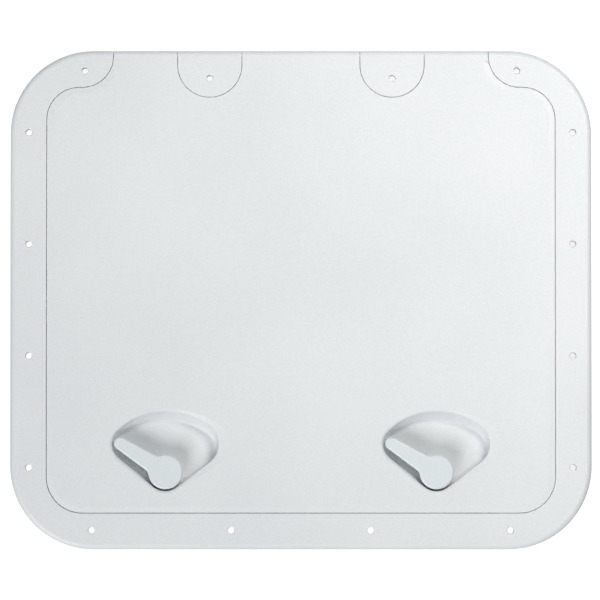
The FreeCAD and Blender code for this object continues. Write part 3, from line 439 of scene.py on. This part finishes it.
def growPiece(tree, pieceName, start, sizes, finish):
    holder = bpy.data.objects.new(pieceName + "Start", start)
    bpy.context.scene.collection.objects.link(holder)
    modifier = holder.modifiers.new("grow", "NODES")
    modifier.node_group = tree
    values = {**sizes, "finish": finish}
    for item in tree.interface.items_tree:
        if item.in_out == "INPUT" and item.name in values:
            modifier[item.identifier] = values[item.name]
    reader = bpy.context.evaluated_depsgraph_get()
    mesh = bpy.data.meshes.new_from_object(holder.evaluated_get(reader), depsgraph=reader)
    mesh.name = pieceName
    bpy.data.objects.remove(holder)
    piece = bpy.data.objects.new(pieceName, mesh)
    bpy.context.scene.collection.objects.link(piece)
    return piece


# A swept section then keeps its first coordinate level and outwards, and its second points down
def levelNormals(tree, curve):
    return addNode(tree, "GeometryNodeSetCurveNormal", {"Curve": curve}, mode="Z_UP").outputs[0]


def sweepSection(tree, curve, section):
    return addNode(tree, "GeometryNodeCurveToMesh", {
        "Curve": levelNormals(tree, curve), "Profile Curve": section,
    }).outputs[0]


def makeStart(name, points, edges=()):
    mesh = bpy.data.meshes.new(name)
    mesh.from_pydata(points, edges, [])
    return mesh


def makeSection(name, outline, closed):
    points = [(x, -z, 0) for x, z in reversed(outline)]
    edges = [(i, i + 1) for i in range(len(points) - 1)]
    if closed:
        edges.append((len(points) - 1, 0))
    return makeStart(name, points, edges)


# Seal: its section swept round the upstand

seal = {
    "halfWidth": 0.0035,
    "slot": 0.00152,            # half of the channel's slot, over the 3 mm upstand
    "web": 0.001,               # channel floor over the upstand
    "grip": 0.0028,             # how far the channel reaches down the upstand
    "lipRound": 0.0005,
    "bulbHalf": 0.0023,
    "bulbSteps": 12,
    "cornerRadius": 0.0235,     # outside of the channel
    "cornerSteps": 24.0,
}


def makeSealTree(sizes):
    tree, enter = startTree("sealSweep", sizes)
    steps = addNode(tree, "FunctionNodeFloatToInt", {0: enter.outputs["cornerSteps"]})
    loop = addNode(tree, "GeometryNodeCurvePrimitiveQuadrilateral", {
        "Width": enter.outputs["width"], "Height": enter.outputs["depth"],
    })
    rounded = addNode(tree, "GeometryNodeFilletCurve", {
        "Curve": loop.outputs[0], "Radius": enter.outputs["radius"],
    }, mode="POLY")
    tree.links.new(steps.outputs[0], rounded.inputs["Count"])
    section = addNode(tree, "GeometryNodeMeshToCurve", {"Mesh": enter.outputs["Shape"]})
    middle = addNode(tree, "ShaderNodeCombineXYZ", {
        "X": enter.outputs["middleX"], "Y": enter.outputs["middleY"],
    })
    moved = addNode(tree, "GeometryNodeTransform", {
        "Geometry": sweepSection(tree, rounded.outputs[0], section.outputs[0]),
        "Translation": middle.outputs[0],
    })
    endTree(tree, enter, moved.outputs[0])
    return tree


# Outline of the channel with its bulb on top, round from the outer lip
def sealSection(look, low, high):
    half, slot, soft = look["halfWidth"], look["slot"], look["lipRound"]
    rest = low.z + look["grip"]
    floor = rest + look["web"]
    points = [
        (-half + soft, low.z), (-slot - soft, low.z), (-slot, low.z + soft), (-slot, rest),
        (slot, rest), (slot, low.z + soft), (slot + soft, low.z), (half - soft, low.z),
        (half, low.z + soft), (half, floor - soft), (half - soft, floor),
    ]
    for step in range(look["bulbSteps"] + 1):
        turn = math.pi * step / look["bulbSteps"]
        rise = (high.z - floor) * math.sin(turn)
        points.append((look["bulbHalf"] * math.cos(turn), floor + rise))
    return points + [(-half + soft, floor), (-half, floor - soft), (-half, low.z + soft)]


def makeSeal(look):
    low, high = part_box("lid_seal")
    section = makeSection("sealSection", sealSection(look, low, high), True)
    sizes = {
        "width": high.x - low.x - look["halfWidth"] * 2,
        "depth": high.y - low.y - look["halfWidth"] * 2,
        "radius": look["cornerRadius"], "cornerSteps": look["cornerSteps"],
        "middleX": (low.x + high.x) / 2, "middleY": (low.y + high.y) / 2,
    }
    tree = makeSealTree(sizes)
    piece = growPiece(tree, "sealStrip", section, sizes, finishes["seal_rubber"])
    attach(piece, bodyOfNode["lid_seal"])
    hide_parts("lid_seal")


makeSeal(seal)
print("seal swept")


# Screws: turned profile, rolled thread and cross recess, set out on their places

screwShape = {
    "root": 0.0015,             # shank between the threads
    "rimFlat": 0.0001,          # small chamfer round a countersunk head
    "rimDrop": 0.00005,
    "panFlat": 0.35,            # share of a pan head's radius that is flat
    "panLand": 0.25,            # share of its height under the dome
    "panSteps": 6,
    "helixSteps": 24,
    "wireSides": 4,
}
screwSizes = {
    "thread": 0.002,
    "pitch": 0.0014,
    "threadWire": 0.00042,
    "crossWidth": 0.0009,
    "crossSpan": 0.0042,
    "crossDepth": 0.0016,
    "poleRadius": 0.00001,      # ring round the axis that closes to a point
    "poleMerge": 2.5,           # times that radius
    "rounds": 40.0,
}
screwSets = {
    "blockScrews": {
        "nodes": ["block_screw_%d" % n for n in (1, 2, 3, 4)], "body": "frame", "panHeight": 0,
    },
    "camScrewLeft": {"nodes": ["cam_screw_left"], "body": "latch_left", "panHeight": 0.0026},
    "camScrewRight": {"nodes": ["cam_screw_right"], "body": "latch_right", "panHeight": 0.0026},
}


def addCalculation(tree, operation, first, second):
    return addNode(tree, "ShaderNodeMath", {0: first, 1: second}, operation=operation).outputs[0]


# Two crossed bars, centred on the head's face, cut out of it
def cutCross(tree, enter, blank):
    cut = addNode(tree, "GeometryNodeMeshBoolean", operation="DIFFERENCE", solver="MANIFOLD")
    tree.links.new(blank, cut.inputs["Mesh 1"])
    height = addCalculation(tree, "MULTIPLY", enter.outputs["crossDepth"], 2.0)
    for first, second in (("crossSpan", "crossWidth"), ("crossWidth", "crossSpan")):
        box = addNode(tree, "ShaderNodeCombineXYZ", {
            "X": enter.outputs[first], "Y": enter.outputs[second], "Z": height,
        })
        bar = addNode(tree, "GeometryNodeMeshCube", {"Size": box.outputs[0]})
        lift = addNode(tree, "ShaderNodeCombineXYZ", {"Z": enter.outputs["bottom"]})
        placed = addNode(tree, "GeometryNodeTransform", {
            "Geometry": bar.outputs[0], "Translation": lift.outputs[0],
        })
        tree.links.new(placed.outputs[0], cut.inputs["Mesh 2"])
    return cut.outputs["Mesh"]


def rollThread(tree, enter, look):
    rise = addCalculation(tree, "SUBTRACT", enter.outputs["threadEnd"], enter.outputs["threadStart"])
    turns = addCalculation(tree, "DIVIDE", rise, enter.outputs["pitch"])
    crest = addCalculation(tree, "SUBTRACT", enter.outputs["thread"], enter.outputs["threadWire"])
    helix = addNode(tree, "GeometryNodeCurveSpiral", {
        "Resolution": look["helixSteps"], "Rotations": turns, "Height": rise,
        "Start Radius": crest, "End Radius": crest,
    })
    wire = addNode(tree, "GeometryNodeCurvePrimitiveCircle", {
        "Resolution": look["wireSides"], "Radius": enter.outputs["threadWire"],
    })
    rolled = addNode(tree, "GeometryNodeCurveToMesh", {
        "Curve": levelNormals(tree, helix.outputs[0]), "Profile Curve": wire.outputs[0],
        "Fill Caps": True,
    })
    start = addNode(tree, "ShaderNodeCombineXYZ", {"Z": enter.outputs["threadStart"]})
    return addNode(tree, "GeometryNodeTransform", {
        "Geometry": rolled.outputs[0], "Translation": start.outputs[0],
    }).outputs[0]


def makeScrewTree(name, look, sizes):
    tree, enter = startTree(name, {**sizes, "bottom": 0.0, "threadStart": 0.0, "threadEnd": 0.0})
    rounds = addNode(tree, "FunctionNodeFloatToInt", {0: enter.outputs["rounds"]})
    circle = addNode(tree, "GeometryNodeCurvePrimitiveCircle", {
        "Resolution": rounds.outputs[0], "Radius": enter.outputs["poleRadius"],
    })
    section = addNode(tree, "GeometryNodeMeshToCurve", {"Mesh": enter.outputs["Shape"]})
    pole = addCalculation(tree, "MULTIPLY", enter.outputs["poleRadius"], enter.outputs["poleMerge"])
    closed = addNode(tree, "GeometryNodeMergeByDistance", {
        "Geometry": sweepSection(tree, circle.outputs[0], section.outputs[0]), "Distance": pole,
    })
    both = tree.nodes.new("GeometryNodeJoinGeometry")
    tree.links.new(rollThread(tree, enter, look), both.inputs[0])
    tree.links.new(cutCross(tree, enter, closed.outputs[0]), both.inputs[0])
    endTree(tree, enter, both.outputs[0])
    return tree


def makePlacesTree():
    tree, enter = startTree("screwPlaces", {})
    tree.interface.new_socket("screw", in_out="INPUT", socket_type="NodeSocketObject")
    screw = addNode(tree, "GeometryNodeObjectInfo", {"Object": enter.outputs["screw"]})
    spread = addNode(tree, "GeometryNodeInstanceOnPoints", {
        "Points": enter.outputs["Shape"], "Instance": screw.outputs["Geometry"],
    })
    endTree(tree, enter, spread.outputs[0])
    return tree


# Outline from the axis at the head, round to the axis at the tip
def screwSection(look, bottom, top, head, panHeight):
    root = look["root"]
    if panHeight:
        seat, land = bottom + panHeight, panHeight * look["panLand"]
        flat, dome = head * look["panFlat"], panHeight - land
        points = [(0, bottom)]
        for step in range(look["panSteps"] + 1):
            turn = math.pi / 2 * step / look["panSteps"]
            out = flat + (head - flat) * math.sin(turn)
            points.append((out, seat - land - dome * math.cos(turn)))
        points += [(head, seat), (root, seat)]
    else:
        points = [
            (0, bottom), (head - look["rimFlat"], bottom), (head, bottom + look["rimDrop"]),
            (root, bottom + head - root),
        ]
    return points + [(root, top - root), (0, top)]


def makeScrews(name, screwSet, look, sizes, tree, placesTree):
    low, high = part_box(screwSet["nodes"][0])
    head = (high.x - low.x) / 2
    outline = screwSection(look, low.z, high.z, head, screwSet["panHeight"])
    section = makeSection(name + "Section", outline, False)
    headHeight = screwSet["panHeight"] or head - look["root"]
    lengths = {
        **sizes, "bottom": low.z, "threadEnd": high.z - look["root"],
        "threadStart": low.z + headHeight + sizes["pitch"] / 2,
    }
    pattern = growPiece(tree, name + "Pattern", section, lengths, finishes["stainless"])
    places = []
    for node in screwSet["nodes"]:
        low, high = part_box(node)
        places.append(((low.x + high.x) / 2, (low.y + high.y) / 2, 0))
    start = makeStart(name + "Places", places)
    piece = growPiece(placesTree, name, start, {"screw": pattern}, finishes["stainless"])
    bpy.data.objects.remove(pattern)
    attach(piece, screwSet["body"])
    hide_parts(*screwSet["nodes"])


screwTree = makeScrewTree("screwTurning", screwShape, screwSizes)
placesTree = makePlacesTree()
for name, screwSet in screwSets.items():
    makeScrews(name, screwSet, screwShape, screwSizes, screwTree, placesTree)
print("screws set:", len(screwSets))


# Studio: pale floor, soft lamps, white behind everything

studio = {
    "floorHalf": 6.0,
    "floorColour": (0.80, 0.80, 0.80),
    "floorGlow": 0.75,          # added only where the camera looks at the floor
    "skyLevel": 0.15,
    "skyColour": (0.66, 0.87, 0.97),
}


def makeFloor(look, level):
    mesh = bpy.data.meshes.new("studioFloor")
    half = look["floorHalf"]
    places = ((-half, -half), (half, -half), (half, half), (-half, half))
    mesh.from_pydata([(x, y, level) for x, y in places], [], [(0, 1, 2, 3)])
    floor = bpy.data.objects.new("studioFloor", mesh)
    bpy.context.scene.collection.objects.link(floor)
    material = bpy.data.materials.new("floorWhite")
    material.use_nodes = True
    tree = material.node_tree
    tree.nodes.clear()
    plain = tree.nodes.new("ShaderNodeBsdfDiffuse")
    plain.inputs["Color"].default_value = (*look["floorColour"], 1)
    glow = tree.nodes.new("ShaderNodeEmission")
    seen = tree.nodes.new("ShaderNodeLightPath").outputs["Is Camera Ray"]
    tree.links.new(addMath(tree, "MULTIPLY", seen, look["floorGlow"]), glow.inputs["Strength"])
    both = tree.nodes.new("ShaderNodeAddShader")
    tree.links.new(plain.outputs[0], both.inputs[0])
    tree.links.new(glow.outputs[0], both.inputs[1])
    output = tree.nodes.new("ShaderNodeOutputMaterial")
    tree.links.new(both.outputs[0], output.inputs["Surface"])
    mesh.materials.append(material)


# White where the camera, a reflection or glass looks past the floor, pale blue as light
def makeSky(look):
    world = bpy.data.worlds.new("studioSky")
    world.use_nodes = True
    tree = world.node_tree
    tree.nodes.clear()
    background = tree.nodes.new("ShaderNodeBackground")
    output = tree.nodes.new("ShaderNodeOutputWorld")
    path = tree.nodes.new("ShaderNodeLightPath")
    seen = addMath(tree, "MAXIMUM", path.outputs["Is Camera Ray"], path.outputs["Is Glossy Ray"])
    seen = addMath(tree, "MAXIMUM", seen, path.outputs["Is Transmission Ray"])
    strength = addRange(tree, seen, 0, 1, look["skyLevel"], 1.0)
    tree.links.new(strength, background.inputs["Strength"])
    colour = addColours(tree, seen, look["skyColour"], (1, 1, 1))
    tree.links.new(colour, background.inputs["Color"])
    tree.links.new(background.outputs[0], output.inputs["Surface"])
    bpy.context.scene.world = world


lamps = {
    "frontLeftKey": {
        "place": (-2.7, -3.9, 3.9), "size": 4.0, "power": 276, "colour": (0.995, 0.988, 0.98),
    },
    "rightRear": {
        "place": (0.52, 0.42, 1.0), "size": 0.4, "power": 7.1, "colour": (1.0, 0.975, 0.945),
    },
    "rearSoft": {
        "place": (0.2, 2.0, 0.9), "size": 1.0, "power": 8, "colour": (1.0, 0.975, 0.95),
    },
}


def makeLamp(name, look):
    data = bpy.data.lights.new(name, "AREA")
    data.shape = "DISK"
    data.size = look["size"]
    data.energy = look["power"]
    data.color = look["colour"]
    lamp = bpy.data.objects.new(name, data)
    lamp.location = look["place"]
    lamp.visible_camera = False
    lamp.rotation_euler = (-Vector(look["place"])).to_track_quat("-Z", "Y").to_euler()
    bpy.context.scene.collection.objects.link(lamp)


camera = {
    "frameWidth": 0.5312,       # width that the picture takes in at the lid's top
    "distance": 6.0,
    "lean": 2.0,                # degrees towards the front edge
    "aim": (-0.0008, -0.0002),  # middle of the picture on the lid
}


def makeCamera(look, level):
    data = bpy.data.cameras.new("photoCamera")
    data.lens = data.sensor_width * look["distance"] / look["frameWidth"]
    rig = bpy.data.objects.new("photoCamera", data)
    lean = math.radians(look["lean"])
    aim = Vector((*look["aim"], level))
    rig.location = aim + Vector((0, -math.sin(lean), math.cos(lean))) * look["distance"]
    rig.rotation_euler = (lean, 0, 0)
    bpy.context.scene.collection.objects.link(rig)
    bpy.context.scene.camera = rig


makeFloor(studio, cadLow.z)
makeSky(studio)
for lampName, lampLook in lamps.items():
    makeLamp(lampName, lampLook)
makeCamera(camera, cadHigh.z)
bpy.context.scene.view_settings.view_transform = "Standard"
print("studio ready")
